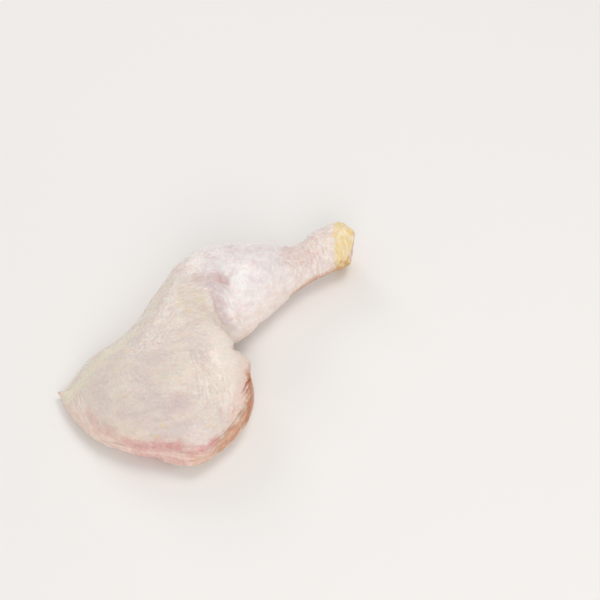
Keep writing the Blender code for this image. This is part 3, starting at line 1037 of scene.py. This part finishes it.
def finish_skin(material):
    shader, wire, place = begin_finish(material)
    on = SimpleNamespace(**{name: mask(wire, name) for name in SKIN_MASKS})
    grain = grain_of_skin(wire, place, on)
    skin = (1 - on.meat) * (1 - on.cap)
    colour = blend(wire, on.cap, colour_of_skin(wire, on, grain, skin), colour_of_cap(wire, on, grain))
    colour = blend(wire, on.meat, colour, colour_of_meat(wire, on, grain))
    bare = blend(wire, (grain.patchy * 0.7 + grain.fine * 0.5).rise(0.45, 0.7), STUMP_FLESH, STUMP_GRISTLE)
    colour = blend(wire, on.stump, colour, bare)
    inputs = {
        # painted shade, darker and redder, along the folds
        "Base Color": blend(wire, on.crease, colour, FOLD_SHADE),
        "Roughness": 0.52 - grain.film.rise(0.4, 0.7) * 0.16,
        "Coat Weight": (0.15 + grain.film.rise(0.4, 0.62) * 0.8) * (1 - on.umber * 0.8),
        "Normal": bumps(wire, height_of_skin(on, grain, skin)),
        "Coat Roughness": 0.15,
        "Coat IOR": 1.38,
        "IOR": 1.42,
        "Subsurface Weight": 0.5,
        "Subsurface Radius": (1.0, 0.5, 0.4),
        "Subsurface Scale": 1.5 * MM,
    }
    wire.feed(shader, inputs)


finish_skin(skin_and_meat)
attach(leg_skin, "root")
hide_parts("leg")

# Shank bone. A hollow bone with two knuckles at the hock, sawn through there: a thin pinkish wall, porous
# at its rim, round red spongy marrow. It is held by the flesh that grew round it.

BONE_SPACING = 0.34
BONE_EVEN_OUT_ROUNDS = 2
BONE_CUT_X = 100.8
BONE_WALL = 1.5
WALL_PORE_DEPTH = 0.35
MARROW_DEPTH = 0.7
SPONGE_HEIGHT = 1.5


def wall_depth(places, outline):
    """How far inside the sawn bone's outline the places lie, in the plane of the cut."""
    aside, above = from_bone_axis(places)
    rim_aside, rim_above = from_bone_axis(outline)
    turn, rim_turn = np.arctan2(above, aside), np.arctan2(rim_above, rim_aside)
    order = np.argsort(rim_turn)
    limit = np.interp(turn, rim_turn[order], np.hypot(rim_aside, rim_above)[order], period=2 * np.pi)
    return limit - np.hypot(aside, above)


def cut_outline_of(mesh):
    """The points on the rim of the cut, without any in the middle of its face."""
    places = places_of(mesh)
    return places[(places[:, 0] > BONE_CUT_X - 0.1) & (np.hypot(*from_bone_axis(places)) > 2)]


def saw_bone(mesh, outline):
    """Sinks the spongy marrow into the sawn face and roughens the wall round it."""
    places, outward = places_of(mesh), outward_of(mesh)
    sawn = fade(places[:, 0], BONE_CUT_X - 1.2, BONE_CUT_X - 0.5) * fade(outward[:, 0], 0.3, 0.8)
    depth_in = wall_depth(places, outline) + 0.35 * lumps(places, 1.6, 91)
    marrow = sawn * fade(depth_in, BONE_WALL - 0.2, BONE_WALL + 0.3)
    sponge = np.abs(lumps(places, 1.5, 92)) + 0.5 * np.abs(lumps(places, 0.8, 93))
    pores = (sawn - marrow).clip(0) * WALL_PORE_DEPTH * np.abs(lumps(places, 0.9, 94))
    places[:, 0] -= marrow * (MARROW_DEPTH - SPONGE_HEIGHT * sponge) + pores
    put_places(mesh, places)
    put_attribute(mesh, "marrow", marrow)


bone = copy_of_node("shank_bone", "sawn_shank_bone")
cut_outline = cut_outline_of(bone.data)
make_even(bone, BONE_SPACING, BONE_EVEN_OUT_ROUNDS)
saw_bone(bone.data, cut_outline)

BONE_WALL_COLOUR = tone(228, 196, 186)
BONE_SIDE_COLOUR = tone(214, 168, 158)
MARROW_RED = tone(218, 84, 86)
MARROW_DARK = tone(176, 46, 52)
MARROW_PINK = tone(230, 146, 140)


def finish_bone(material):
    shader, wire, place = begin_finish(material)
    soft, fine = cloud(wire, place, 2.2, 3), cloud(wire, place, 0.7, 2)
    marrow = mask(wire, "marrow")
    red = blend(wire, soft.rise(0.4, 0.62), MARROW_DARK, MARROW_RED)
    red = blend(wire, fine.rise(0.55, 0.72) * 0.6, red, MARROW_PINK)
    wall = blend(wire, (soft * 0.6 + fine * 0.5).rise(0.4, 0.75), BONE_SIDE_COLOUR, BONE_WALL_COLOUR)
    inputs = {
        "Base Color": blend(wire, marrow, wall, red),
        "Roughness": 0.5 - marrow * 0.22,
        "Normal": bumps(wire, fine * 0.18),
        "Subsurface Weight": 0.3,
        "Subsurface Radius": (1.0, 0.35, 0.25),
        "Subsurface Scale": 1.2 * MM,
    }
    wire.feed(shader, inputs)


sawn_bone = bpy.data.materials.new("sawn bone and marrow")
finish_bone(sawn_bone)
bone.data.materials.clear()
bone.data.materials.append(sawn_bone)
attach(bone, "root")
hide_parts("shank_bone")

# Marrow grains. The saw tears the spongy marrow into small wet crumbs, which stick to the cut.

GRAIN_SPACING = 0.72
GRAIN_RADIUS = 0.4


def grain_tree():
    """Scatters small crumbs over the sawn marrow, each of its own size and turn."""
    wire, given = start_tree("marrow grains", ("Spacing", "Radius"))
    _, seats = scatter(wire, given, "marrow", GRAIN_SPACING, 3)
    crumb = wire.add("GeometryNodeMeshIcoSphere", {}, {"Radius": given["Radius"], "Subdivisions": 2})
    vector = {"data_type": "FLOAT_VECTOR"}
    size = wire.add("FunctionNodeRandomValue", vector, {0: (0.5,) * 3, 1: (1.2,) * 3, "Seed": 5})
    turn = wire.add("FunctionNodeRandomValue", vector, {0: (0,) * 3, 1: (6.28,) * 3, "Seed": 6})
    turned = wire.add("FunctionNodeEulerToRotation", {}, {0: turn})
    sockets = {"Points": seats, "Instance": crumb, "Rotation": turned, "Scale": size}
    return end_tree(wire, given, wire.add("GeometryNodeInstanceOnPoints", {}, sockets))


def finish_marrow(material):
    shader, wire, place = begin_finish(material)
    soft, fine = cloud(wire, place, 2.6, 3), cloud(wire, place, 0.9, 2)
    red = blend(wire, soft.rise(0.38, 0.6), MARROW_DARK, MARROW_RED)
    inputs = {
        "Base Color": blend(wire, (soft * 0.6 + fine * 0.6).rise(0.6, 0.78), red, MARROW_PINK),
        "Roughness": 0.25,
        "Normal": bumps(wire, fine * 0.1),
        "Subsurface Weight": 0.3,
        "Subsurface Radius": (1.0, 0.3, 0.2),
        "Subsurface Scale": 0.8 * MM,
    }
    wire.feed(shader, inputs)


wet_marrow = bpy.data.materials.new("wet marrow")
finish_marrow(wet_marrow)
grains = bpy.data.objects.new("marrow_grains", bone.data.copy())
bpy.context.scene.collection.objects.link(grains)
run_tree(grains, grain_tree(), {"Spacing": GRAIN_SPACING, "Radius": GRAIN_RADIUS}, wet_marrow)
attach(grains, "root")

# Floor, light and camera. A pale matt floor, a bright room and three large soft lamps: behind the leg, in
# front of it, and high up on the hock's side. The camera looks down at the leg from its inner side.

FLOOR_HALF_M = 3.0
FLOOR_CORNERS = ((-1, -1), (1, -1), (1, 1), (-1, 1))
FLOOR_COLOUR = tone(242, 240, 238)

floor_mesh = bpy.data.meshes.new("floor")
corners = [(x * FLOOR_HALF_M, y * FLOOR_HALF_M, 0) for x, y in FLOOR_CORNERS]
floor_mesh.from_pydata(corners, [], [(0, 1, 2, 3)])
floor = bpy.data.objects.new("floor", floor_mesh)
bpy.context.scene.collection.objects.link(floor)
matt = bpy.data.materials.new("pale floor")
matt.use_nodes = True
matt.node_tree.nodes["Principled BSDF"].inputs["Base Color"].default_value = FLOOR_COLOUR
matt.node_tree.nodes["Principled BSDF"].inputs["Roughness"].default_value = 0.7
floor_mesh.materials.append(matt)

ROOM_STRENGTH = 0.54
ROOM_COLOUR = (1.0, 0.985, 0.97, 1)
room = bpy.data.worlds.new("bright room")
room.use_nodes = True
room.node_tree.nodes["Background"].inputs["Color"].default_value = ROOM_COLOUR
room.node_tree.nodes["Background"].inputs["Strength"].default_value = ROOM_STRENGTH
bpy.context.scene.world = room


def hang_lamp(name, place_m, size_m, watts, colour):
    """A round lamp that faces the middle of the floor."""
    lamp = bpy.data.lights.new(name, "AREA")
    lamp.shape = "DISK"
    lamp.size = size_m
    lamp.energy = watts
    lamp.color = colour
    hung = bpy.data.objects.new(name, lamp)
    hung.location = place_m
    hung.rotation_euler = (-Vector(place_m)).to_track_quat("-Z", "Y").to_euler()
    bpy.context.scene.collection.objects.link(hung)


hang_lamp("back_lamp", (0.1, 1.35, 0.8), size_m=0.7, watts=3.6, colour=(1, 0.985, 0.97))
hang_lamp("top_lamp", (0.5, -0.05, 1.3), size_m=0.7, watts=4.8, colour=(1, 0.99, 0.98))
hang_lamp("front_lamp", (-0.6, -1.15, 0.85), size_m=1.0, watts=8, colour=(1, 0.99, 0.98))

CAMERA_PLACE_M = (-0.2729, -0.4749, 0.6794)
CAMERA_TILT = math.radians(41)  # up from straight down
CAMERA_TURN = math.radians(-34)
CAMERA_LENS = 87.12
SENSOR_WIDTH = 36
camera = bpy.data.cameras.new("camera")
camera.sensor_width = SENSOR_WIDTH
camera.lens = CAMERA_LENS
viewer = bpy.data.objects.new("camera", camera)
viewer.location = CAMERA_PLACE_M
viewer.rotation_euler = Euler((CAMERA_TILT, 0, CAMERA_TURN))
bpy.context.scene.collection.objects.link(viewer)
bpy.context.scene.camera = viewer
bpy.context.scene.view_settings.view_transform = "Standard"
